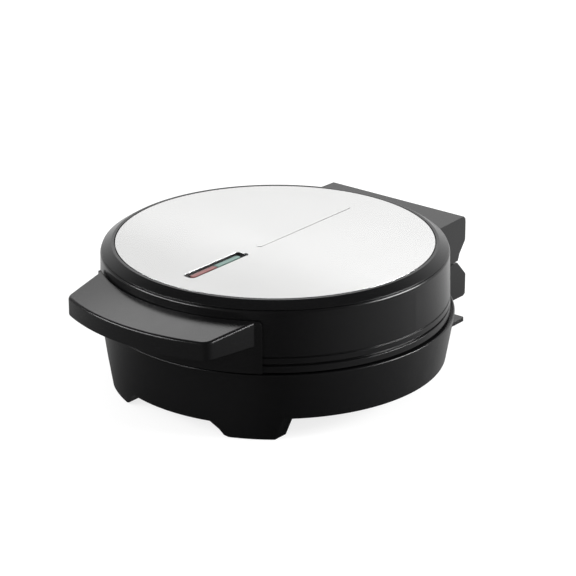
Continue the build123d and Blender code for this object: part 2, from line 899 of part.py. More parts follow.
def terminal_screws():
    screws = []
    for step in (-1, 0, 1):
        x = step * terminal_pitch
        low = cover_top + terminal_well_floor
        high = low + terminal_screw_length
        body = upright(terminal_screw_radius, low, high, x, block_place)
        slot = Box(3 * terminal_screw_radius, 2 * driver_half_width, 2 * driver_depth)
        screws.append(body - Pos(x, block_place, high) * slot)
    return screws


def handle():
    """The lid's handle: an arm with an arched front and a root that hugs the lid's wall."""
    arm = rounded_arm()
    arm -= handle_hollow()
    root = turned([
        (root_inner_radius, lid_bottom), (root_outer_radius, lid_bottom),
        (root_outer_radius, handle_front_top + handle_slope - root_top_chamfer),
        (root_outer_radius - root_top_chamfer, handle_front_top + handle_slope),
        (root_inner_radius, handle_front_top + handle_slope),
    ])
    root &= root_sector()
    for side in SIDES:
        root -= root_corner(side)
    body = arm + root
    for angle in (-handle_screw_angle, 0, handle_screw_angle):
        body -= handle_screw_bar(
            screw_radius, root_inner_radius - 1, root_inner_radius + handle_hole_depth, angle)
    return seated(body)


def root_sector():
    """The wedge of the drum that the handle's root covers."""
    reach = 2 * rim_radius
    half = reach * math.tan(math.radians(root_half_angle))
    outline = Polyline((0, 0), (half, -reach), (-half, -reach), close=True)
    return extrude(make_face(outline), lid_top)


def root_corner(side):
    """What is cut away to round the root's top corner on one side."""
    top = handle_front_top + handle_slope
    middle_x = -side * root_corner_round
    middle_z = top - root_corner_round
    near, far = sorted((middle_x, side))
    waste = block(
        (near, -root_outer_radius - 1, middle_z), (far, 1 - root_inner_radius, top + 1))
    bar = Rot(90, 0, 0) * Cylinder(root_corner_round, root_outer_radius)
    waste -= Pos(middle_x, -root_outer_radius, middle_z) * bar
    return Rot(0, 0, side * root_half_angle) * waste


def handle_outline(inset):
    """The handle in plan: sides that close in a little and an arched front, shrunk by inset."""
    front = handle_reach - inset
    half_front = handle_half_front - inset
    half_root = handle_half_root - inset
    corner_y = -math.sqrt(front ** 2 - half_front ** 2)
    outline = Polyline(
        (half_front, corner_y), (half_root, -root_side), (half_root, -rim_radius / 2),
        (-half_root, -rim_radius / 2), (-half_root, -root_side), (-half_front, corner_y))
    outline += ThreePointArc((-half_front, corner_y), (0, -front), (half_front, corner_y))
    face = make_face(outline)
    front_corners = [
        corner for corner in face.vertices() if abs(corner.Y - corner_y) < 0.01]
    return fillet(front_corners, handle_corner - inset)


def handle_arm(inset):
    """The arm as a solid, shrunk by inset on every side; its top rises towards the drum."""
    top = handle_front_top - inset
    low = handle_underside + inset
    slope = turned([
        (root_inner_radius, low), (handle_reach, low), (handle_reach, top),
        (root_inner_radius, top + handle_slope)])
    return slope & extrude(handle_outline(inset), lid_top)


def rounded_arm():
    """The arm with its long edges rounded over."""
    arm = handle_arm(0.0)
    crown = arm.faces().sort_by(Axis.Z)[-1]
    outer = root_inner_radius + 1.0
    arm = fillet([edge for edge in crown.edges() if edge_radius(edge) > outer], handle_edge_round)
    sole = arm.faces().sort_by(Axis.Z)[0]
    return fillet([edge for edge in sole.edges() if edge_radius(edge) > outer], handle_sole_round)


def edge_radius(edge):
    """How far an edge's middle lies from the drum's axis."""
    middle = edge @ 0.5
    return math.hypot(middle.X, middle.Y)


def handle_hollow():
    """The hollow under the arm that its cover closes."""
    start = root_inner_radius + handle_root_wall
    room = handle_arm(handle_wall)
    room += Pos(0, 0, -handle_wall - 1) * room
    return room - upright(start, 0, lid_top)


def handle_cover():
    """The plate that closes the handle's hollow from below."""
    plate = handle_arm(handle_wall + cover_lip_gap)
    plate += Pos(0, 0, -handle_wall) * plate
    plate -= upright(root_inner_radius + handle_root_wall + cover_lip_gap, 0, lid_top)
    slab = block(
        (-rim_radius, -2 * rim_radius, handle_underside),
        (rim_radius, 0, handle_underside + handle_cover_thickness))
    return seated(plate & slab)


def handle_screws():
    """Screws through the lid's wall into the handle's root."""
    height = (handle_underside + handle_front_top) / 2
    seat = lid_wall_radius(height) - wall - handle_head_gap
    screws = []
    for angle in (-handle_screw_angle, 0, handle_screw_angle):
        body = Pos(0, -seat, height) * Rot(90, 0, 0) * screw(True, wall + handle_screw_grip)
        screws.append(seated(Rot(0, 0, angle) * body))
    return screws


def hinge_pins():
    return [
        along_hinge(pin_radius, pin_start(), pin_length() - pin_inset),
        along_hinge(pin_radius, pin_inset - pin_length(), -pin_start()),
    ]


def wire_tube():
    end = wire_tube_end()
    tube = along_hinge(wire_tube_radius, -end, end)
    return tube - along_hinge(wire_tube_radius - wire_tube_wall, -end - 1, end + 1)


nodes = {
    "lid_shell": lid_shell(),
    "steel_disc": steel_disc(),
    "lid_bezel": lid_bezel(),
    "window_frame": window_frame(),
    "red_lens": lens(-1),
    "green_lens": lens(1),
    "lamp_board": lamp_board(),
    "red_lamp": lamp(-1),
    "green_lamp": lamp(1),
    "lamp_board_screws": lamp_board_screws(),
    "handle": handle(),
    "handle_cover": handle_cover(),
    "handle_screws": handle_screws(),
    "upper_hot_plate": hot_plate(upper_plate_face, upper_plate_back, upper_seat, -1),
    "upper_element": heating_element(upper_plate_back, -1),
    "upper_reflector": reflector(upper_plate_back, -1),
    "upper_plate_screws": plate_screws(upper_plate_back, -1),
    "upper_spacers": spacers(upper_plate_back, -1),
    "thermal_fuse": thermal_fuse(),
    "base_shell": base_shell(),
    "lower_hot_plate": hot_plate(lower_plate_face, lower_plate_back, lower_seat, 1),
    "lower_element": heating_element(lower_plate_back, 1),
    "lower_reflector": reflector(lower_plate_back, 1),
    "lower_plate_screws": plate_screws(lower_plate_back, 1),
    "lower_spacers": spacers(lower_plate_back, 1),
    "thermostat": thermostat(),
    "terminal_block": terminal_block(),
    "terminal_screws": terminal_screws(),
    "bottom_cover": bottom_cover(),
    "cover_screws": cover_screws(),
    "rubber_feet": [foot_pad(x, y, 0.0) for x in SIDES for y in SIDES],
    "hinge_pins": hinge_pins(),
    "wire_tube": wire_tube(),
    "inlet_bush": inlet_bush(),
}

os.makedirs("parts", exist_ok=True)
to_footprint = Pos(0, footprint_shift, 0)
for name, shape in nodes.items():
    solids = shape if isinstance(shape, list) else [shape]
    moved = [to_footprint * solid for solid in solids]
    piece = Compound(children=moved) if isinstance(shape, list) else moved[0]
    export_step(piece, f"parts/{name}.step")
    print(name, round(piece.volume / 1000, 2), "cm3")
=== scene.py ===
# %% [markdown]
# # A round wafer maker
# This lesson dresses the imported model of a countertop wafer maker: a black moulded body, a satin steel
# disc on the lid, a lamp window let into the disc, and two hot plates inside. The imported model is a
# fixed frame, so its pieces stay where they are. Most of them get a finish here. The ones that catch
# the eye first, such as the disc and the ring round it, are built again as finer meshes.

# %% Load the frame
import bpy
import bmesh
import json
import math
from mathutils import Matrix, Vector, geometry


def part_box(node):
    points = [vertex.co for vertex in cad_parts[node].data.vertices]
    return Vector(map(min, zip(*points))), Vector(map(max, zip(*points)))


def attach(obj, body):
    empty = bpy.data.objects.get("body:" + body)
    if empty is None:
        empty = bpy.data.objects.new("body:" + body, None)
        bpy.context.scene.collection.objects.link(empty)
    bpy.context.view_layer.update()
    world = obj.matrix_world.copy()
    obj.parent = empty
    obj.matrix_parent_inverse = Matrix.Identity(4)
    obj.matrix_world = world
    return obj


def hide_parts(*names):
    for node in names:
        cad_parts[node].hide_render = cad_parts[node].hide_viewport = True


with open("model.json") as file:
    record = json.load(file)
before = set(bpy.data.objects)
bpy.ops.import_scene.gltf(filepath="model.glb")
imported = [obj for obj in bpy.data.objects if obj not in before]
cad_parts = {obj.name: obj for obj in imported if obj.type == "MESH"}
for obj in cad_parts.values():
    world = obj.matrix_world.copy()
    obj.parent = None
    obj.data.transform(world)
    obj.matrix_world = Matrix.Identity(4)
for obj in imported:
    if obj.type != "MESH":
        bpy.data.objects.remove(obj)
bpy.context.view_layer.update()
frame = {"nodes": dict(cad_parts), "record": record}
nodes = frame["nodes"]
scene = bpy.context.scene

# %% [markdown]
# ## The measures that the frame gives
# Every place below is read from the boxes of the frame's nodes, so a changed model carries its dressing
# along. The drum's axis is the middle of the disc.

# %% Main measures
MM = 0.001
disc_low, disc_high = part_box("steel_disc")
ring_low, ring_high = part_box("lid_bezel")
disc_radius = (disc_high[0] - disc_low[0]) / 2
ring_radius = (ring_high[0] - ring_low[0]) / 2
lid_top = ring_high[2]
drum_axis = Vector((0, (disc_low[1] + disc_high[1]) / 2, 0))
print("disc radius", round(disc_radius, 4), "ring radius", round(ring_radius, 4))
print("lid top", round(lid_top, 4), "drum axis at y", round(drum_axis.y, 4))

# %% [markdown]
# ## The camera
# The picture is taken from the front right, nearly 22 degrees above the table, with a long lens. The
# camera looks along a line beside the disc's middle, so that the maker sits a little below and left of
# the picture's middle.

# %% Camera
CAMERA_TURN = math.radians(38.8)
CAMERA_RISE = math.radians(21.57)
CAMERA_DISTANCE = 1.700
CAMERA_RIGHT = 0.0080
CAMERA_UP = -0.0306
LENS_LENGTH = 170.0
SENSOR_WIDTH = 36.0
towards_camera = Vector((math.sin(CAMERA_TURN), -math.cos(CAMERA_TURN), 0))
back = towards_camera * math.cos(CAMERA_RISE) + Vector((0, 0, math.sin(CAMERA_RISE)))
right = Vector((math.cos(CAMERA_TURN), math.sin(CAMERA_TURN), 0))
up = back.cross(right)
camera_data = bpy.data.cameras.new("camera")
camera_data.lens = LENS_LENGTH
camera_data.sensor_width = SENSOR_WIDTH
camera = bpy.data.objects.new("camera", camera_data)
camera.location = (
    drum_axis + Vector((0, 0, lid_top))
    + CAMERA_DISTANCE * back + CAMERA_RIGHT * right + CAMERA_UP * up)
camera.rotation_euler = Matrix((right, up, back)).transposed().to_euler()
scene.collection.objects.link(camera)
scene.camera = camera
print("camera at", [round(v, 3) for v in camera.location])

# %% [markdown]
# ## Two helpers for node trees
# A shader tree is a list of boxes and wires. `put` adds one box with its settings and inputs in a single
# call, where an input is either a plain value or the output of another box. `new_group` starts a group,
# which is a tree of its own with named sockets, so that one effect can serve many materials.

# %% Node helpers


def put(tree, kind, inputs=None, **settings):
    """Adds a node; inputs maps a socket's name or number to a value or to another node's output."""
    made = tree.nodes.new(kind)
    for name, value in settings.items():
        setattr(made, name, value)
    for name, value in (inputs or {}).items():
        if isinstance(value, bpy.types.NodeSocket):
            tree.links.new(value, made.inputs[name])
        else:
            made.inputs[name].default_value = value
    return made


def new_group(name, takes, gives):
    """Starts a node group; takes lists (name, kind, value) and gives lists (name, kind)."""
    group = bpy.data.node_groups.new(name, "ShaderNodeTree")
    for label, kind, value in takes:
        socket = group.interface.new_socket(label, in_out="INPUT", socket_type="NodeSocket" + kind)
        if value is not None:
            socket.default_value = value
    for label, kind in gives:
        group.interface.new_socket(label, in_out="OUTPUT", socket_type="NodeSocket" + kind)
    return group, put(group, "NodeGroupInput"), put(group, "NodeGroupOutput")


def place(tree, group, inputs=None):
    """Puts a group into a tree with its own values."""
    return put(tree, "ShaderNodeGroup", inputs, node_tree=group)


def combine(tree, kind, first, second):
    """One arithmetic step on two values or outputs."""
    return put(tree, "ShaderNodeMath", {0: first, 1: second}, operation=kind).outputs[0]


print("helpers ready")

# %% [markdown]
# ## The light round the maker
# A black glossy body is only seen by what it mirrors, so the studio is designed as a picture for the
# mirrors. The side behind the maker is a bright wall. From there the brightness falls off slowly on the
# right and fast on the left, towards the camera's side, where a photographer hangs black cloth. The room
# and the floor both fall off like this, at different rates, so it is a node group: it takes a direction
# and a rate for each side, and gives a brightness.

# %% Fall-off group
FRONT_BRIGHTNESS = 0.02
LEFT_BRIGHTNESS = 0.13
sides, sides_in, sides_out = new_group(
    "bright_behind",
    [("Direction", "Vector", None), ("Right Power", "Float", 1.0), ("Left Power", "Float", 1.0)],
    [("Brightness", "Float")])
level = put(sides, "ShaderNodeVectorMath", {0: sides_in.outputs[0], 1: (1, 1, 0)}, operation="MULTIPLY")
heading = put(sides, "ShaderNodeVectorMath", {0: level.outputs[0]}, operation="NORMALIZE").outputs[0]
away = put(
    sides, "ShaderNodeVectorMath", {0: heading, 1: -towards_camera}, operation="DOT_PRODUCT")
leftward = put(sides, "ShaderNodeVectorMath", {0: heading, 1: -right}, operation="DOT_PRODUCT")
share = put(
    sides, "ShaderNodeMapRange", {"Value": away.outputs["Value"], "From Min": -1, "From Max": 1})
curves = []
for power, lowest in (("Right Power", FRONT_BRIGHTNESS), ("Left Power", LEFT_BRIGHTNESS)):
    curve = combine(sides, "POWER", share.outputs[0], sides_in.outputs[power])
    curves.append(put(sides, "ShaderNodeMapRange", {"Value": curve, "To Min": lowest, "To Max": 1.0}))
which = put(
    sides, "ShaderNodeMapRange", {"Value": leftward.outputs["Value"], "From Min": -0.1, "From Max": 0.4},
    interpolation_type="SMOOTHSTEP")
bright = put(
    sides, "ShaderNodeMix", {0: which.outputs[0], 2: curves[0].outputs[0], 3: curves[1].outputs[0]})
sides.links.new(bright.outputs[0], sides_out.inputs[0])
print("group", sides.name)

# %% [markdown]
# ## The room
# The room is the world's background. To the camera and through glass it is plain white. Mirrors see the
# wall behind at full strength, the dark cloth in front, and a ceiling that gets darker with height,
# because the sloping ring round the disc mirrors the ceiling and is dark. All other rays get a plain
# even light.

# %% World
scene.view_settings.view_transform = "Standard"
ROOM_RIGHT_POWER = 2.2
ROOM_LEFT_POWER = 7.0
CEILING_BRIGHTNESS = 0.04
CEILING_START = 0.30
CEILING_END = 0.92
EVEN_LIGHT = 0.62
world = bpy.data.worlds.new("studio")
scene.world = world
world.use_nodes = True
tree = world.node_tree
tree.nodes.clear()
direction = put(tree, "ShaderNodeTexCoord").outputs["Generated"]
walls = place(
    tree, sides,
    {"Direction": direction, "Right Power": ROOM_RIGHT_POWER, "Left Power": ROOM_LEFT_POWER})
height = put(tree, "ShaderNodeSeparateXYZ", {0: direction}).outputs["Z"]
ceiling = put(
    tree, "ShaderNodeMapRange",
    {"Value": height, "From Min": CEILING_START, "From Max": CEILING_END,
     "To Min": 1.0, "To Max": CEILING_BRIGHTNESS},
    interpolation_type="SMOOTHSTEP")
mirrored = combine(tree, "MULTIPLY", walls.outputs[0], ceiling.outputs[0])
path = put(tree, "ShaderNodeLightPath")
even = put(tree, "ShaderNodeBackground", {"Color": (1, 1, 1, 1), "Strength": EVEN_LIGHT})
seen_in_mirrors = put(tree, "ShaderNodeBackground", {"Color": (1, 1, 1, 1), "Strength": mirrored})
white = put(tree, "ShaderNodeBackground", {"Color": (1, 1, 1, 1), "Strength": 1.0})
mirrors_or_even = put(
    tree, "ShaderNodeMixShader",
    {"Fac": path.outputs["Is Glossy Ray"], 1: even.outputs[0], 2: seen_in_mirrors.outputs[0]})
plain_sight = combine(
    tree, "MAXIMUM", path.outputs["Is Camera Ray"], path.outputs["Is Transmission Ray"])
chosen = put(
    tree, "ShaderNodeMixShader",
    {"Fac": plain_sight, 1: mirrors_or_even.outputs[0], 2: white.outputs[0]})
put(tree, "ShaderNodeOutputWorld", {"Surface": chosen.outputs[0]})
print("world", world.name)

# %% [markdown]
# ## The floor
# The floor is a large white sheet. A part of it glows, so that it is as white as the room, and the rest
# is plain matt white, which keeps the maker's soft shadow. Mirrors see a fall-off like the room's, worked
# out from the place on the floor, because the upright walls of the maker mirror the floor. Close to the
# maker the glow that mirrors see is painted darker, a painted shade standing in for the maker's shadow.

# %% Floor
GLOW = 0.80
PAINTED_SHADE_REACH = 0.29
PAINTED_SHADE_BRIGHTNESS = 0.45
FLOOR_RIGHT_POWER = 0.68
FLOOR_LEFT_POWER = 2.2
FLOOR_SIZE = 8
bpy.ops.mesh.primitive_plane_add(size=FLOOR_SIZE, location=(0, 0, 0))
floor = bpy.context.object
floor.name = "floor"
floor_material = bpy.data.materials.new("floor_white")
floor_material.use_nodes = True
tree = floor_material.node_tree
tree.nodes.clear()
spot = put(tree, "ShaderNodeNewGeometry").outputs["Position"]
walls = place(
    tree, sides,
    {"Direction": spot, "Right Power": FLOOR_RIGHT_POWER, "Left Power": FLOOR_LEFT_POWER})
path = put(tree, "ShaderNodeLightPath")
matt = put(tree, "ShaderNodeBsdfDiffuse", {"Color": (0.30, 0.30, 0.30, 1)})
glow = put(tree, "ShaderNodeEmission", {"Color": (1, 1, 1, 1), "Strength": GLOW})
seen = put(tree, "ShaderNodeAddShader", {0: matt.outputs[0], 1: glow.outputs[0]})
distance = put(tree, "ShaderNodeVectorMath", {0: spot}, operation="LENGTH").outputs["Value"]
# Painted shade: the glow that mirrors see is dimmed close to the maker, where its shadow falls.
shade = put(
    tree, "ShaderNodeMapRange",
    {"Value": distance, "From Min": ring_radius, "From Max": PAINTED_SHADE_REACH, "To Min": PAINTED_SHADE_BRIGHTNESS})
mirrored = combine(tree, "MULTIPLY", walls.outputs[0], shade.outputs[0])
mirror_glow = put(tree, "ShaderNodeEmission", {"Color": (1, 1, 1, 1), "Strength": mirrored})
plain = put(tree, "ShaderNodeBsdfDiffuse", {"Color": (0.55, 0.55, 0.55, 1)})
plain_sight = combine(
    tree, "MAXIMUM", path.outputs["Is Camera Ray"], path.outputs["Is Transmission Ray"])
others = put(
    tree, "ShaderNodeMixShader",
    {"Fac": path.outputs["Is Glossy Ray"], 1: plain.outputs[0], 2: mirror_glow.outputs[0]})
chosen = put(
    tree, "ShaderNodeMixShader", {"Fac": plain_sight, 1: others.outputs[0], 2: seen.outputs[0]})
put(tree, "ShaderNodeOutputMaterial", {"Surface": chosen.outputs[0]})
floor.data.materials.append(floor_material)
print("floor", floor.name)

# %% [markdown]
# ## Three soft boxes
# Rounded edges of a glossy body show as bright lines, because each edge mirrors a strip of the whole
# room, lamps included. A wide low box stands at the front left for the handle's front edge and the left
# of the lid's shoulder. Another stands to the right and behind for the right of the shoulder. A broad
# one behind on the left is mirrored by the handle's top, which slopes a little towards the front.

# %% Soft boxes
AIM_HEIGHT = 0.06


def soft_box(name, turn, rise, distance, width, height, power):
    """An area lamp aimed at the maker; turn is its direction from -Y towards +X, in degrees."""
    turn, rise = math.radians(turn), math.radians(rise)
    out = Vector((math.sin(turn) * math.cos(rise), -math.cos(turn) * math.cos(rise), math.sin(rise)))
    data = bpy.data.lights.new(name, "AREA")
    data.shape = "RECTANGLE"
    data.size = width
    data.size_y = height
    data.energy = power
    lamp = bpy.data.objects.new(name, data)
    lamp.location = out * distance + Vector((0, 0, AIM_HEIGHT))
    lamp.rotation_euler = out.to_track_quat("Z", "Y").to_euler()
    scene.collection.objects.link(lamp)
    return lamp


soft_box("front_left_box", -38, 25, 1.6, 1.4, 0.30, 17)
soft_box("rear_right_box", 124, 22, 1.6, 1.0, 0.40, 31)
soft_box("rear_left_box", 222, 42, 1.7, 1.0, 0.6, 3.6)

# %% [markdown]
# ## Shared effects
# Grain, rubbed edges, dust and flecks come back in several finishes, so each is a node group, and so are
# the lines of rolled sheet. They only put out values and masks; the shader itself stays in the material.
# Their patterns are laid in object coordinates, which are metres in the maker's own frame, so a pattern
# has the same scale on every piece and moves with the lid.

# %% Moulded skin
skin, skin_in, skin_out = new_group(
    "moulded_skin",
    [("Grain Size", "Float", 0.0006), ("Mottle", "Float", 0.06), ("Gloss Change", "Float", 0.05)],
    [("Tone", "Float"), ("Gloss", "Float"), ("Height", "Float")])
spot = put(skin, "ShaderNodeTexCoord").outputs["Object"]
fineness = combine(skin, "DIVIDE", 1.0, skin_in.outputs["Grain Size"])
grain = put(skin, "ShaderNodeTexNoise", {"Vector": spot, "Scale": fineness, "Detail": 2.0})
flow = put(skin, "ShaderNodeTexNoise", {"Vector": spot, "Scale": 14.0, "Detail": 3.0, "Roughness": 0.55})
prints = put(skin, "ShaderNodeTexNoise", {"Vector": spot, "Scale": 46.0, "Detail": 4.0, "Roughness": 0.6})
flow_low = combine(skin, "SUBTRACT", 1.0, skin_in.outputs["Mottle"])
flow_high = combine(skin, "ADD", 1.0, skin_in.outputs["Mottle"])
tone = put(
    skin, "ShaderNodeMapRange",
    {"Value": flow.outputs["Fac"], "From Min": 0.3, "From Max": 0.7, "To Min": flow_low, "To Max": flow_high})
centred = combine(skin, "SUBTRACT", prints.outputs["Fac"], 0.5)
gloss = combine(skin, "MULTIPLY", centred, skin_in.outputs["Gloss Change"])
skin.links.new(tone.outputs[0], skin_out.inputs["Tone"])
skin.links.new(gloss, skin_out.inputs["Gloss"])
skin.links.new(grain.outputs["Fac"], skin_out.inputs["Height"])
print("group", skin.name)

# %% [markdown]
# Handling rubs the edges of a moulding a little lighter. The Bevel node gives the normal that a rounded
# edge would have, and where that differs from the real normal there is an edge.

# %% Rubbed edges
edges, edges_in, edges_out = new_group(
    "rubbed_edges",
    [("Width", "Float", 0.0008), ("Strength", "Float", 1.0)],
    [("Mask", "Float")])
rounded = put(edges, "ShaderNodeBevel", {"Radius": edges_in.outputs["Width"]}, samples=4)
sharp = put(edges, "ShaderNodeNewGeometry").outputs["Normal"]
likeness = put(
    edges, "ShaderNodeVectorMath", {0: rounded.outputs[0], 1: sharp}, operation="DOT_PRODUCT")
bend = put(
    edges, "ShaderNodeMapRange",
    {"Value": likeness.outputs["Value"], "From Min": 0.995, "From Max": 0.75})
patches = put(
    edges, "ShaderNodeTexNoise",
    {"Vector": put(edges, "ShaderNodeTexCoord").outputs["Object"], "Scale": 90.0, "Detail": 3.0})
broken = put(
    edges, "ShaderNodeMapRange",
    {"Value": patches.outputs["Fac"], "From Min": 0.35, "From Max": 0.65, "To Min": 0.3})
rubbed = combine(edges, "MULTIPLY", bend.outputs[0], broken.outputs[0])
edges.links.new(combine(edges, "MULTIPLY", rubbed, edges_in.outputs["Strength"]), edges_out.inputs[0])
print("group", edges.name)

# %% [markdown]
# Dust settles on what looks up. The mask takes the upward part of the normal and breaks it with noise.

# %% Settled dust
dust, dust_in, dust_out = new_group(
    "settled_dust", [("Amount", "Float", 0.1)], [("Mask", "Float")])
facing = put(dust, "ShaderNodeSeparateXYZ", {0: put(dust, "ShaderNodeNewGeometry").outputs["Normal"]})
upward = put(
    dust, "ShaderNodeMapRange", {"Value": facing.outputs["Z"], "From Min": 0.5, "From Max": 1.0})
specks = put(
    dust, "ShaderNodeTexNoise",
    {"Vector": put(dust, "ShaderNodeTexCoord").outputs["Object"], "Scale": 700.0, "Detail": 2.0})
few = put(
    dust, "ShaderNodeMapRange", {"Value": specks.outputs["Fac"], "From Min": 0.56, "From Max": 0.72})
lying = combine(dust, "MULTIPLY", upward.outputs[0], few.outputs[0])
dust.links.new(combine(dust, "MULTIPLY", lying, dust_in.outputs["Amount"]), dust_out.inputs[0])
print("group", dust.name)

# %% [markdown]
# Rolled or brushed sheet has fine lines along one direction. Noise that is stretched along Y gives them,
# and its slow part gives the faint clouding that satin steel shows.

# %% Rolled sheet
rolled, rolled_in, rolled_out = new_group(
    "rolled_sheet",
    [("Line Pitch", "Float", 0.0003), ("Cloud", "Float", 0.03)],
    [("Tone", "Float"), ("Streak", "Float")])
spot = put(rolled, "ShaderNodeTexCoord").outputs["Object"]
stretched = put(rolled, "ShaderNodeMapping", {"Vector": spot, "Scale": (1.0, 0.012, 1.0)})
density = combine(rolled, "DIVIDE", 1.0, rolled_in.outputs["Line Pitch"])
lines = put(
    rolled, "ShaderNodeTexNoise", {"Vector": stretched.outputs[0], "Scale": density, "Detail": 3.0})
clouds = put(rolled, "ShaderNodeTexNoise", {"Vector": spot, "Scale": 22.0, "Detail": 4.0})
low = combine(rolled, "SUBTRACT", 1.0, rolled_in.outputs["Cloud"])
tone = put(
    rolled, "ShaderNodeMapRange",
    {"Value": clouds.outputs["Fac"], "From Min": 0.3, "From Max": 0.7, "To Min": low})
rolled.links.new(tone.outputs[0], rolled_out.inputs["Tone"])
rolled.links.new(lines.outputs["Fac"], rolled_out.inputs["Streak"])
print("group", rolled.name)

# %% [markdown]
# Sprayed coatings and zinc both break up into small cells. A Voronoi texture gives each cell its own
# shade, and its distance gives a height for the gaps.

# %% Flecks
flecks, flecks_in, flecks_out = new_group(
    "flecks",
    [("Cell Size", "Float", 0.0012), ("Share", "Float", 0.15)],
    [("Mask", "Float"), ("Shade", "Float"), ("Height", "Float")])
cell_scale = combine(flecks, "DIVIDE", 1.0, flecks_in.outputs["Cell Size"])
cells = put(
    flecks, "ShaderNodeTexVoronoi",
    {"Vector": put(flecks, "ShaderNodeTexCoord").outputs["Object"], "Scale": cell_scale})
shade = put(flecks, "ShaderNodeSeparateColor", {0: cells.outputs["Color"]}).outputs[0]
chosen = combine(flecks, "LESS_THAN", shade, flecks_in.outputs["Share"])
flecks.links.new(chosen, flecks_out.inputs["Mask"])
flecks.links.new(shade, flecks_out.inputs["Shade"])
flecks.links.new(cells.outputs["Distance"], flecks_out.inputs["Height"])
print("group", flecks.name)

# %% [markdown]
# ## A start for every finish
# Each finish is a material with one Principled shader. `finish` makes it with its constant values,
# `tinted` multiplies a colour by a changing tone, and `bumped` turns a height into a normal.

# %% Finish helpers
materials = {}


def finish(name, colour, **constants):
    """A new material; constants name the shader's sockets with _ for a space."""
    material = bpy.data.materials.new(name)
    material.use_nodes = True
    shader = material.node_tree.nodes["Principled BSDF"]
    shader.inputs["Base Color"].default_value = (*colour, 1)
    for label, value in constants.items():
        shader.inputs[label.replace("_", " ")].default_value = value
    materials[name] = material
    return material.node_tree, shader


def tinted(tree, colour, tone):
    """The colour times a tone that changes over the surface."""
    made = put(
        tree, "ShaderNodeVectorMath", {0: colour, "Scale": tone}, operation="SCALE")
    return made.outputs[0]


def blended(tree, share, first, second):
    """One colour turning into another by a share that changes over the surface."""
    made = put(tree, "ShaderNodeMix", {0: share}, data_type="RGBA")
    for socket, colour in ((made.inputs[6], first), (made.inputs[7], second)):
        if isinstance(colour, bpy.types.NodeSocket):
            tree.links.new(colour, socket)
        else:
            socket.default_value = (*colour, 1)
    return made.outputs[2]


def bumped(tree, shader, height, strength, depth, rounding=None):
    """Feeds a height through a Bump node into the shader; depth is in metres, and rounding a normal."""
    bump = put(tree, "ShaderNodeBump", {"Height": height, "Strength": strength, "Distance": depth})
    if rounding is not None:
        tree.links.new(rounding, bump.inputs["Normal"])
    tree.links.new(bump.outputs[0], shader.inputs["Normal"])


def gloss_from(tree, shader, base, change):
    """Sets the roughness to a base value plus a change over the surface."""
    tree.links.new(combine(tree, "ADD", change, base), shader.inputs["Roughness"])


print("ready to make finishes")

# %% [markdown]
# ## Black moulded plastic
# The whole body is a black moulding with a satin gloss. Its colour is so dark that nearly all its light
# is mirrored, so the roughness decides the look: smooth enough for clear edge lines, rough enough that
# the room doesn't show in it. A very fine grain, slight clouding, rubbed edges and a trace of dust keep
# it from looking like a computer's black.

# %% Plastic
PLASTIC = (0.0048, 0.0048, 0.0051)
RUBBED_PLASTIC = (0.020, 0.020, 0.021)
DUST = (0.30, 0.29, 0.27)
tree, shader = finish("black_plastic", PLASTIC, IOR=1.5, Specular_IOR_Level=0.44)
touch = place(tree, skin, {"Grain Size": 0.0005, "Mottle": 0.10, "Gloss Change": 0.07})
worn = place(tree, edges, {"Width": 0.0007, "Strength": 0.45})
lying = place(tree, dust, {"Amount": 0.012})
colour = tinted(tree, PLASTIC, touch.outputs["Tone"])
colour = blended(tree, worn.outputs[0], colour, RUBBED_PLASTIC)
colour = blended(tree, lying.outputs[0], colour, DUST)
tree.links.new(colour, shader.inputs["Base Color"])
gloss_from(tree, shader, 0.23, touch.outputs["Gloss"])
softened = put(tree, "ShaderNodeBevel", {"Radius": 0.0004}, samples=6)
bumped(tree, shader, touch.outputs["Height"], 0.02, 0.00003, softened.outputs[0])
print("finish", materials["black_plastic"].name)

# %% [markdown]
# ## Satin steel
# The disc is thin stainless sheet with a fine satin finish. Metal takes its whole look from the room, so
# the base colour is nearly white, the roughness is even, and the rolled lines only touch it. Towards the
# handle the base colour is painted a little darker, a painted shade over the front of the sheet.

# %% Steel
STEEL = (0.81, 0.81, 0.805)
PAINTED_SHADE_SHARE = 0.19
tree, shader = finish("polished_steel", STEEL, Metallic=1.0, Anisotropic=0.2)
sheet = place(tree, rolled, {"Line Pitch": 0.0004, "Cloud": 0.02})
forward = put(tree, "ShaderNodeSeparateXYZ", {0: put(tree, "ShaderNodeTexCoord").outputs["Object"]})
# Painted shade: the steel's colour is made darker towards the front, by the handle.
painted_front_shade = put(
    tree, "ShaderNodeMapRange",
    {"Value": forward.outputs["Y"], "From Min": -0.08, "From Max": 0.0, "To Min": 1 - PAINTED_SHADE_SHARE},
    interpolation_type="SMOOTHSTEP")
tone = combine(tree, "MULTIPLY", sheet.outputs["Tone"], painted_front_shade.outputs[0])
tree.links.new(tinted(tree, STEEL, tone), shader.inputs["Base Color"])
streak = combine(tree, "MULTIPLY", combine(tree, "SUBTRACT", sheet.outputs["Streak"], 0.5), 0.02)
gloss_from(tree, shader, 0.26, streak)
bumped(tree, shader, sheet.outputs["Streak"], 0.004, 0.000005)
print("finish", materials["polished_steel"].name)

# %% [markdown]
# ## Non-stick coating
# The hot plates are cast aluminium with a dark sprayed coating. It has pale specks, an orange-peel skin
# and worn ridges where wafers and cleaning rub it.

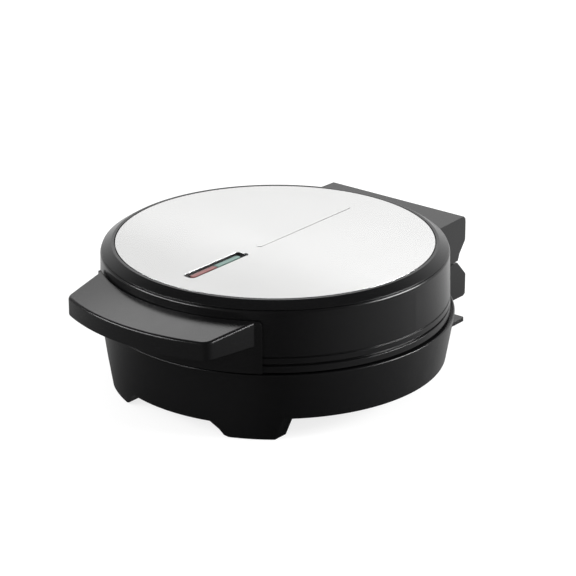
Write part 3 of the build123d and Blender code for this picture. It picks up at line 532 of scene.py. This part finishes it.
# %% Coating
COATING = (0.022, 0.022, 0.024)
SPECK = (0.16, 0.16, 0.165)
WORN_COATING = (0.085, 0.083, 0.080)
tree, shader = finish("nonstick_coating", COATING, IOR=1.45)
touch = place(tree, skin, {"Grain Size": 0.0011, "Mottle": 0.12, "Gloss Change": 0.12})
specks = place(tree, flecks, {"Cell Size": 0.0009, "Share": 0.05})
worn = place(tree, edges, {"Width": 0.0006, "Strength": 0.8})
colour = tinted(tree, COATING, touch.outputs["Tone"])
colour = blended(tree, combine(tree, "MULTIPLY", specks.outputs["Mask"], 0.5), colour, SPECK)
colour = blended(tree, worn.outputs[0], colour, WORN_COATING)
tree.links.new(colour, shader.inputs["Base Color"])
gloss_from(tree, shader, 0.42, touch.outputs["Gloss"])
bumped(tree, shader, touch.outputs["Height"], 0.35, 0.00012)
print("finish", materials["nonstick_coating"].name)

# %% [markdown]
# ## The two lenses
# The lenses are tinted clear plastic over unlit lamps. Seen against the dark box below they look like
# milky strips, pinkish red and grey green, with fine ribs across that spread the lamps' light.

# %% Lenses


def lens_finish(name, colour):
    """Tinted plastic with fine ribs across the strip."""
    tree, shader = finish(name, colour, Transmission_Weight=0.25, IOR=1.49)
    spot = put(tree, "ShaderNodeTexCoord").outputs["Object"]
    ribs = put(
        tree, "ShaderNodeTexWave", {"Vector": spot, "Scale": 160.0, "Distortion": 0.2},
        bands_direction="Y")
    touch = place(tree, skin, {"Grain Size": 0.0008, "Mottle": 0.10, "Gloss Change": 0.10})
    tree.links.new(tinted(tree, colour, touch.outputs["Tone"]), shader.inputs["Base Color"])
    gloss_from(tree, shader, 0.32, touch.outputs["Gloss"])
    bumped(tree, shader, ribs.outputs["Fac"], 0.25, 0.00015)
    print("finish", name)


lens_finish("red_lens", (0.30, 0.095, 0.09))
lens_finish("green_lens", (0.21, 0.35, 0.31))

# %% [markdown]
# ## The finishes inside
# What lies inside shows when the lid is open or the cover is off: glass lamps, a tan circuit board, zinc
# plated screws, heat-darkened element tubes, bright pressed sheet, off-white nylon, black rubber and a
# woven glass sleeve.

# %% Glass and board
tree, shader = finish(
    "lamp_glass", (0.92, 0.93, 0.92), Transmission_Weight=1.0, IOR=1.47, Roughness=0.03)
touch = place(tree, skin, {"Grain Size": 0.002, "Mottle": 0.02, "Gloss Change": 0.05})
tree.links.new(tinted(tree, (0.92, 0.93, 0.92), touch.outputs["Tone"]), shader.inputs["Base Color"])
bumped(tree, shader, touch.outputs["Height"], 0.08, 0.0001)

BOARD = (0.30, 0.19, 0.085)
tree, shader = finish("board", BOARD, IOR=1.5)
spot = put(tree, "ShaderNodeTexCoord").outputs["Object"]
threads = put(
    tree, "ShaderNodeTexWave", {"Vector": spot, "Scale": 420.0, "Distortion": 1.0, "Detail": 2.0},
    bands_direction="DIAGONAL")
touch = place(tree, skin, {"Grain Size": 0.0007, "Mottle": 0.15, "Gloss Change": 0.1})
colour = tinted(tree, BOARD, touch.outputs["Tone"])
colour = blended(
    tree, combine(tree, "MULTIPLY", threads.outputs["Fac"], 0.25), colour, (0.42, 0.30, 0.15))
tree.links.new(colour, shader.inputs["Base Color"])
gloss_from(tree, shader, 0.5, touch.outputs["Gloss"])
bumped(tree, shader, threads.outputs["Fac"], 0.15, 0.00005)
print("finishes lamp_glass and board")

# %% Metals inside


def metal_finish(name, colour, stained, roughness, cell, stain_share):
    """Plated or heated metal: cells of slightly different shade, stained in patches."""
    tree, shader = finish(name, colour, Metallic=1.0)
    cells = place(tree, flecks, {"Cell Size": cell, "Share": 0.5})
    touch = place(tree, skin, {"Grain Size": 0.0009, "Mottle": 0.12, "Gloss Change": 0.16})
    worn = place(tree, edges, {"Width": 0.0004, "Strength": 0.5})
    patch = combine(tree, "MULTIPLY", cells.outputs["Shade"], stain_share)
    mixed = blended(tree, patch, tinted(tree, colour, touch.outputs["Tone"]), stained)
    mixed = blended(tree, worn.outputs[0], mixed, (0.80, 0.80, 0.78))
    tree.links.new(mixed, shader.inputs["Base Color"])
    gloss_from(tree, shader, roughness, touch.outputs["Gloss"])
    bumped(tree, shader, touch.outputs["Height"], 0.15, 0.00005)
    print("finish", name)


metal_finish("zinc_steel", (0.62, 0.63, 0.64), (0.50, 0.52, 0.55), 0.34, 0.0011, 0.4)
metal_finish("element_sheath", (0.20, 0.185, 0.17), (0.10, 0.085, 0.10), 0.48, 0.004, 0.7)
metal_finish("aluminised_sheet", (0.78, 0.78, 0.77), (0.68, 0.69, 0.71), 0.24, 0.006, 0.5)

# %% Nylon, rubber and sleeve


def moulded_finish(name, colour, roughness, grain, depth):
    """A plain matt moulding with its grain, clouding and dust."""
    tree, shader = finish(name, colour, IOR=1.5)
    touch = place(tree, skin, {"Grain Size": grain, "Mottle": 0.07, "Gloss Change": 0.10})
    lying = place(tree, dust, {"Amount": 0.10})
    mixed = blended(tree, lying.outputs[0], tinted(tree, colour, touch.outputs["Tone"]), DUST)
    tree.links.new(mixed, shader.inputs["Base Color"])
    gloss_from(tree, shader, roughness, touch.outputs["Gloss"])
    bumped(tree, shader, touch.outputs["Height"], 0.4, depth)
    print("finish", name)


moulded_finish("white_nylon", (0.74, 0.72, 0.66), 0.45, 0.0006, 0.00005)
moulded_finish("rubber", (0.012, 0.012, 0.012), 0.75, 0.0004, 0.00008)

SLEEVE = (0.66, 0.63, 0.54)
tree, shader = finish("glass_sleeve", SLEEVE, Sheen_Weight=0.3)
spot = put(tree, "ShaderNodeTexCoord").outputs["Object"]
plaits = [
    put(
        tree, "ShaderNodeTexWave",
        {"Vector": put(tree, "ShaderNodeMapping", {"Vector": spot, "Rotation": (turn, 0, turn)}).outputs[0],
         "Scale": 260.0},
        bands_direction="DIAGONAL").outputs["Fac"]
    for turn in (0.0, math.pi / 2)]
weave = combine(tree, "MAXIMUM", *plaits)
tone = put(tree, "ShaderNodeMapRange", {"Value": weave, "To Min": 0.55, "To Max": 1.05}).outputs[0]
tree.links.new(tinted(tree, SLEEVE, tone), shader.inputs["Base Color"])
touch = place(tree, skin, {"Gloss Change": 0.1})
gloss_from(tree, shader, 0.7, touch.outputs["Gloss"])
bumped(tree, shader, weave, 0.6, 0.0003)
print("finish glass_sleeve")

# %% [markdown]
# ## Dress the frame's nodes
# The record says which finish each node has. Its material takes the place of the plain one that came
# with the model.

# %% Dress the nodes
slot_of = {part["node"]: part["material_slot"] for part in frame["record"]["subparts"]}
for name, node in nodes.items():
    node.data.materials.clear()
    node.data.materials.append(materials[slot_of[name]])
print("dressed", len(nodes), "nodes")

# %% [markdown]
# ## Helpers for the finer pieces
# The pieces below are built from rings of vertices. `round_loop` makes one ring along a rounded
# rectangle, `bridge` joins two rings with faces, and `piece` turns the result into an object that rides
# on the lid in place of the frame's node. The weighted normals keep flat faces flat up to their
# rounded edges.

# %% Mesh helpers
ARC_STEPS = 10
ROUND_STEPS = 240
TINY = 0.001 * MM
SMALLEST_ROUND = 0.05 * MM
SHARP_ANGLE = math.radians(35)


def round_loop(form, low, high, rounds, inset, height):
    """A ring of vertices; low and high are (x, y) corners, rounds the front and back corner radius."""
    ring = []
    front_round, back_round = rounds
    corners = ((1, 1, back_round), (-1, 1, back_round), (-1, -1, front_round), (1, -1, front_round))
    for quarter, (side_x, side_y, corner) in enumerate(corners):
        radius = max(corner - inset, SMALLEST_ROUND)
        x = (high[0] if side_x > 0 else low[0]) - side_x * (inset + radius)
        y = (high[1] if side_y > 0 else low[1]) - side_y * (inset + radius)
        for step in range(ARC_STEPS + 1):
            angle = math.pi / 2 * (quarter + step / ARC_STEPS)
            spot = Vector((x + radius * math.cos(angle), y + radius * math.sin(angle), height))
            if all((spot - end.co).length > TINY for end in ring[:1] + ring[-1:]):
                ring.append(form.verts.new(spot))
    return ring


def circle_loop(form, radius, height):
    """A ring of vertices round the drum's axis."""
    ring = []
    for step in range(ROUND_STEPS):
        angle = 2 * math.pi * step / ROUND_STEPS
        spot = (radius * math.cos(angle), drum_axis.y + radius * math.sin(angle), height)
        ring.append(form.verts.new(spot))
    return ring


def bridge(form, loops, closed=False):
    """Joins each ring with the next by faces; closed also joins the last with the first."""
    followers = loops[1:] + loops[:1] if closed else loops[1:]
    for first, second in zip(loops, followers):
        for a, b, c, d in zip(first, first[1:] + first[:1], second[1:] + second[:1], second):
            form.faces.new((a, b, c, d))


def fill(form, outer, *holes):
    """Fills the flat area inside a ring with triangles, but not the round holes in it."""
    corners = []
    borders = []
    for loop in (outer, *holes):
        start = len(corners)
        corners += loop
        borders += [(start + i, start + (i + 1) % len(loop)) for i in range(len(loop))]
    places = [Vector((corner.co.x, corner.co.y)) / MM for corner in corners]
    inside = 1
    found = geometry.delaunay_2d_cdt(places, borders, [], inside, 1e-6)
    faces, originals = found[2], found[3]
    for face in faces:
        triangle = [corners[originals[i][0]] for i in face]
        if not any(all(corner in hole for corner in triangle) for hole in holes):
            form.faces.new(triangle)


def piece(name, form, node, body="lid"):
    """Makes the object, gives it the node's finish, and lets it stand for that node."""
    bmesh.ops.recalc_face_normals(form, faces=form.faces)
    data = bpy.data.meshes.new(name)
    form.to_mesh(data)
    form.free()
    data.shade_smooth()
    data.set_sharp_from_angle(angle=SHARP_ANGLE)
    data.materials.append(materials[slot_of[node]])
    made = bpy.data.objects.new(name, data)
    scene.collection.objects.link(made)
    made.modifiers.new("even_shading", "WEIGHTED_NORMAL").keep_sharp = True
    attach(made, body)
    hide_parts(node)
    print("piece", name, "faces", len(data.polygons))
    return made


def arc(centre, radius, start, end, steps=6):
    """Points (radius, height) along an arc; angles in degrees, 0 pointing outwards and 90 up."""
    points = []
    for step in range(steps + 1):
        angle = math.radians(start + (end - start) * step / steps)
        points.append((centre[0] + radius * math.cos(angle), centre[1] + radius * math.sin(angle)))
    return points


print("mesh helpers ready")

# %% [markdown]
# ## The ring round the disc
# The ring is a separate black moulding. It has a narrow flat crest beside the disc, then a bevel that
# slopes down to where the lid's rounded shoulder begins, and bulges very slightly. The crest catches the
# light as a fine line, and the deep channel between it and the steel stays black. Past a fine groove
# comes the rounded shoulder. It belongs to the lid's wall, and the ring covers it here with a thin skirt,
# so that one smooth line of light runs along it. All of it is turned from one outline, whose angles are
# degrees, 0 pointing outwards and 90 up.

# %% Ring
RING_GAP = 0.60 * MM
CHANNEL_DEPTH = 2.4 * MM
CHANNEL_UNDERCUT = 0.3 * MM
CREST_ROUND = 0.30 * MM
CREST_WIDTH = 1.5 * MM
BEVEL_DROP = 3.7 * MM
BEVEL_BULGE = 0.05 * MM
RIM_ROUND = 0.30 * MM
RIM_INSET = 0.4 * MM
SEAT_WIDTH = 2.2 * MM
SHEET = lid_top - disc_low[2]
BEVEL_TILT = 56
BEVEL_STEPS = 12
RIM_UNDERCUT = -60
SHOULDER_ROUND = 2.0 * MM
SHOULDER_START = 55
SHOULDER_STEP = 0.35 * MM
GROOVE_DEPTH = 0.5 * MM
SKIRT_HEIGHT = 5.0 * MM


def ring_outline():
    """The ring's closed (radius, height) outline."""
    inner = disc_radius + RING_GAP
    crest = (inner + CREST_ROUND, lid_top - CREST_ROUND)
    crest_end = (crest[0] + CREST_WIDTH, crest[1])
    rim = (ring_radius - RIM_INSET - RIM_ROUND, lid_top - BEVEL_DROP - RIM_ROUND)
    crest_points = arc(crest, CREST_ROUND, 180, 90) + arc(crest_end, CREST_ROUND, 90, BEVEL_TILT)
    rim_points = arc(rim, RIM_ROUND, BEVEL_TILT - 3, RIM_UNDERCUT)
    skirt = ring_radius + SHOULDER_STEP
    groove = rim_points[-1][1] - GROOVE_DEPTH
    shoulder = (skirt - SHOULDER_ROUND, groove + GROOVE_DEPTH - SHOULDER_ROUND)
    skirt_bottom = groove - SKIRT_HEIGHT
    shoulder_points = [(rim[0] - GROOVE_DEPTH, groove)]
    shoulder_points += arc(shoulder, SHOULDER_ROUND, SHOULDER_START, 0)
    shoulder_points += [(skirt, skirt_bottom), (ring_radius - SHOULDER_ROUND, skirt_bottom)]
    start, end = crest_points[-1], rim_points[0]
    bevel = []
    for step in range(1, BEVEL_STEPS):
        share = step / BEVEL_STEPS
        bulge = BEVEL_BULGE * 4 * share * (1 - share)
        bevel.append((
            start[0] + (end[0] - start[0]) * share + bulge * math.cos(math.radians(BEVEL_TILT)),
            start[1] + (end[1] - start[1]) * share + bulge * math.sin(math.radians(BEVEL_TILT))))
    seat = disc_radius - SEAT_WIDTH
    wall = disc_radius - CHANNEL_UNDERCUT
    inside = [
        (seat, ring_low[2]), (seat, lid_top - SHEET), (wall, lid_top - SHEET),
        (wall, lid_top - CHANNEL_DEPTH), (inner, lid_top - CHANNEL_DEPTH)]
    return inside + crest_points + bevel + rim_points + shoulder_points


form = bmesh.new()
bridge(form, [circle_loop(form, *point) for point in ring_outline()], closed=True)
piece("ring", form, "lid_bezel")

# %% [markdown]
# ## The steel disc
# The disc is one sheet with a fine rounded edge, an opening with rolled edges for the lamp window, and a
# long flat rib that is pressed up. Each of these is a set of rings: the edges follow a small arc and the
# rib a soft step. The flat sheet between them is filled in one plane, so that it stays a true mirror.

# %% Disc
EDGE_ROUND = 0.22 * MM
window_low, window_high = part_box("window_frame")
lens_low, lens_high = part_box("red_lens")
rear_lens_low, rear_lens_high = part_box("green_lens")
FRAME_FLANGE = 1.5 * MM
SLOT_CORNER = 3.0 * MM
slot_low = (window_low[0] + FRAME_FLANGE, window_low[1] + FRAME_FLANGE)
slot_high = (window_high[0] - FRAME_FLANGE, window_high[1] - FRAME_FLANGE)
RIB_HALF_WIDTH = 2.65 * MM
RIB_FRONT = 13.5 * MM
RIB_MARGIN = 24.0 * MM
RIB_SLOPE = 1.2 * MM
RIB_STEPS = 8
rib_height = disc_high[2] - lid_top
rib_low = (-RIB_HALF_WIDTH, slot_high[1] + RIB_FRONT)
rib_high = (RIB_HALF_WIDTH, drum_axis.y + disc_radius - RIB_MARGIN)


def soft_step(share):
    """0 to 1 with level ends."""
    return share * share * (3 - 2 * share)


def disc_form():
    """The sheet as a closed body."""
    form = bmesh.new()
    rounds = (SLOT_CORNER, SLOT_CORNER)
    rib_rounds = (RIB_HALF_WIDTH, RIB_HALF_WIDTH)
    edge = arc((disc_radius - EDGE_ROUND, lid_top - EDGE_ROUND), EDGE_ROUND, 90, 0)
    outside = [circle_loop(form, *point) for point in edge + [(disc_radius, disc_low[2])]]
    rolled_edge = arc((-EDGE_ROUND, lid_top - EDGE_ROUND), EDGE_ROUND, 90, 0)
    opening = [
        round_loop(form, slot_low, slot_high, rounds, across, height)
        for across, height in rolled_edge + [(0.0, disc_low[2])]]
    rib = []
    for step in range(RIB_STEPS + 1):
        share = step / RIB_STEPS
        height = lid_top + rib_height * soft_step(share)
        rib.append(round_loop(form, rib_low, rib_high, rib_rounds, RIB_SLOPE * share, height))
    for loops in (outside, opening, rib):
        bridge(form, loops)
    fill(form, outside[0], opening[0], rib[0])
    fill(form, rib[-1])
    fill(form, outside[-1], opening[-1])
    return form


piece("disc", disc_form(), "steel_disc")

# %% [markdown]
# ## The lamp window
# A black frame lines the opening, and two tinted lenses lie in it end to end, nearly level with the
# steel. The frame has a fine rounded lip and then a deep border, which looks black round the lenses, and
# a flange below holds it under the sheet. A small catch at its rear right corner locks it. Each lens has a
# slightly crowned head, narrower than its foot.

# %% Window frame
FRAME_GAP = 0.15 * MM
LIP_ROUND = 0.3 * MM
FLANGE_HEIGHT = 1.2 * MM
LENS_GAP = 0.05 * MM
LENS_CORNER = 1.5 * MM
BORDER_DEPTH = 1.5 * MM
CATCH_SIZE = (2.6 * MM, 1.5 * MM, 0.6 * MM)
CATCH_INSIDE = 0.8
CATCH_CORNER = 0.4
CATCH_EDGE = 0.12 * MM
deck = window_low[2] + FLANGE_HEIGHT
frame_low = (slot_low[0] + FRAME_GAP, slot_low[1] + FRAME_GAP)
frame_high = (slot_high[0] - FRAME_GAP, slot_high[1] - FRAME_GAP)
gap_low = (lens_low[0] - LENS_GAP, lens_low[1] - LENS_GAP)
gap_high = (lens_high[0] + LENS_GAP, rear_lens_high[1] + LENS_GAP)


def frame_form():
    """The frame as a closed body round the lenses."""
    form = bmesh.new()
    top = window_high[2]
    outer_profile = [
        (-FRAME_FLANGE - FRAME_GAP, window_low[2]), (-FRAME_FLANGE - FRAME_GAP, deck), (0.0, deck),
        (0.0, top - LIP_ROUND), (0.3 * LIP_ROUND, top - 0.3 * LIP_ROUND), (LIP_ROUND, top),
        (1.7 * LIP_ROUND, top - 0.3 * LIP_ROUND), (2 * LIP_ROUND, top - LIP_ROUND),
        (3 * LIP_ROUND, top - BORDER_DEPTH)]
    inner_profile = [(0.0, top - BORDER_DEPTH), (0.0, window_low[2])]
    outer = [
        round_loop(form, frame_low, frame_high, (SLOT_CORNER, SLOT_CORNER), inset, height)
        for inset, height in outer_profile]
    inner = [
        round_loop(form, gap_low, gap_high, (LENS_CORNER, LENS_CORNER), inset, height)
        for inset, height in inner_profile]
    bridge(form, outer)
    bridge(form, inner)
    fill(form, outer[-1], inner[0])
    fill(form, outer[0], inner[-1])
    return form


piece("window_lining", frame_form(), "window_frame")

# %% Catch of the window frame


def catch_form():
    """A small rounded block that stands on the disc at the window's rear right corner."""
    form = bmesh.new()
    width, length, height = CATCH_SIZE
    low = (slot_high[0] - width, slot_high[1] - CATCH_INSIDE * length)
    high = (slot_high[0], low[1] + length)
    rounds = (CATCH_CORNER * length, CATCH_CORNER * length)
    bottom = window_high[2] - BORDER_DEPTH
    profile = [(0.0, bottom), (0.0, lid_top + 0.5 * height), (CATCH_EDGE, lid_top + 0.8 * height)]
    loops = [round_loop(form, low, high, rounds, inset, level) for inset, level in profile]
    bridge(form, loops)
    fill(form, loops[0])
    fill(form, loops[-1])
    return form


piece("window_catch", catch_form(), "window_frame")

# %% Lenses
SPLIT_ROUND = 0.3 * MM
CROWN = 0.15 * MM
SUNK = 0.15 * MM
NARROWER = 0.35 * MM
HEAD_HEIGHT = 1.2 * MM
HEAD_ROUND = 0.3 * MM
CROWN_STEPS = 5


def lens_form(low, high, rounds):
    """A lens with a narrower crowned head over its foot."""
    form = bmesh.new()
    shoulder = high[2] - SUNK - CROWN
    foot_top = shoulder - HEAD_HEIGHT
    profile = [
        (0.0, low[2]), (0.0, foot_top), (NARROWER, foot_top),
        (NARROWER, shoulder - HEAD_ROUND), (NARROWER + HEAD_ROUND / 3, shoulder - 0.27 * HEAD_ROUND),
        (NARROWER + HEAD_ROUND, shoulder)]
    half_width = (high[0] - low[0]) / 2 - NARROWER
    for step in range(1, CROWN_STEPS + 1):
        share = step / CROWN_STEPS
        inset = NARROWER + HEAD_ROUND + (half_width - 0.5 * MM) * share
        profile.append((inset, shoulder + CROWN * math.sin(math.pi / 2 * share)))
    loops = [round_loop(form, low, high, rounds, inset, height) for inset, height in profile]
    bridge(form, loops)
    fill(form, loops[0])
    fill(form, loops[-1])
    return form


piece("front_lens", lens_form(lens_low, lens_high, (LENS_CORNER, SPLIT_ROUND)), "red_lens")
piece("rear_lens", lens_form(rear_lens_low, rear_lens_high, (SPLIT_ROUND, LENS_CORNER)), "green_lens")
